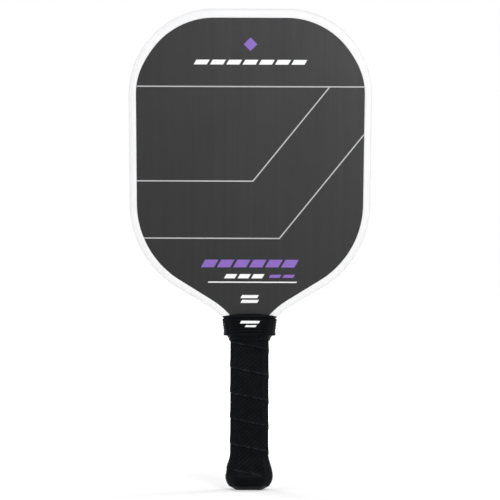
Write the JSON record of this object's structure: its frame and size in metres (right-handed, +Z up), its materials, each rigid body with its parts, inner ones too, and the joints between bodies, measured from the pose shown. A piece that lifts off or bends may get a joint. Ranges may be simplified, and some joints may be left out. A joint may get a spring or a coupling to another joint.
{
  "type": "pickleball paddle",
  "caption": "Pickleball paddle: laminated honeycomb panel in a moulded edge guard, with a rubber collar, wrapped octagonal handle and flared butt cap.",
  "frame": {"origin": "centre of the butt's flat end face", "axes": "+Z up the handle towards the head, along the paddle's length; X across its width; Y through its thickness, front face towards -Y"},
  "size_m": [0.2032, 0.0354, 0.402],
  "materials": {
    "core_plastic": "translucent white polypropylene",
    "scrim_fleece": "thin bonded fleece",
    "glass_ply": "resin-filled glass cloth",
    "carbon_face": "matt peel-ply textured carbon fibre",
    "edge_tape_foam": "thin adhesive foam tape",
    "guard_plastic": "smooth white flexible plastic",
    "pallet_plastic": "moulded black plastic",
    "cap_plastic": "fine-grained black plastic",
    "disc_plastic": "plain black domed label",
    "staple_steel": "flat staple wire",
    "grip_cushion": "perforated synthetic leather on foam",
    "finishing_film": "stretchy vinyl tape",
    "collar_rubber": "ribbed moulded rubber",
    "line_ink": "light grey screen print",
    "white_ink": "white screen print",
    "violet_ink": "violet screen print"
  },
  "bodies": {
    "root": {"honeycomb_core": "core_plastic", "front_scrim": "scrim_fleece", "rear_scrim": "scrim_fleece", "front_glass_ply": "glass_ply", "rear_glass_ply": "glass_ply", "front_carbon_face": "carbon_face", "rear_carbon_face": "carbon_face", "edge_tape": "edge_tape_foam", "edge_guard": "guard_plastic", "front_pallet": "pallet_plastic", "rear_pallet": "pallet_plastic", "butt_cap": "cap_plastic", "end_disc": "disc_plastic", "butt_cap_staples": "staple_steel", "grip_tape": "grip_cushion", "finishing_tape": "finishing_film", "collar": "collar_rubber", "pin_lines": "line_ink", "white_marks": "white_ink", "violet_marks": "violet_ink"}
  },
  "joints": []
}
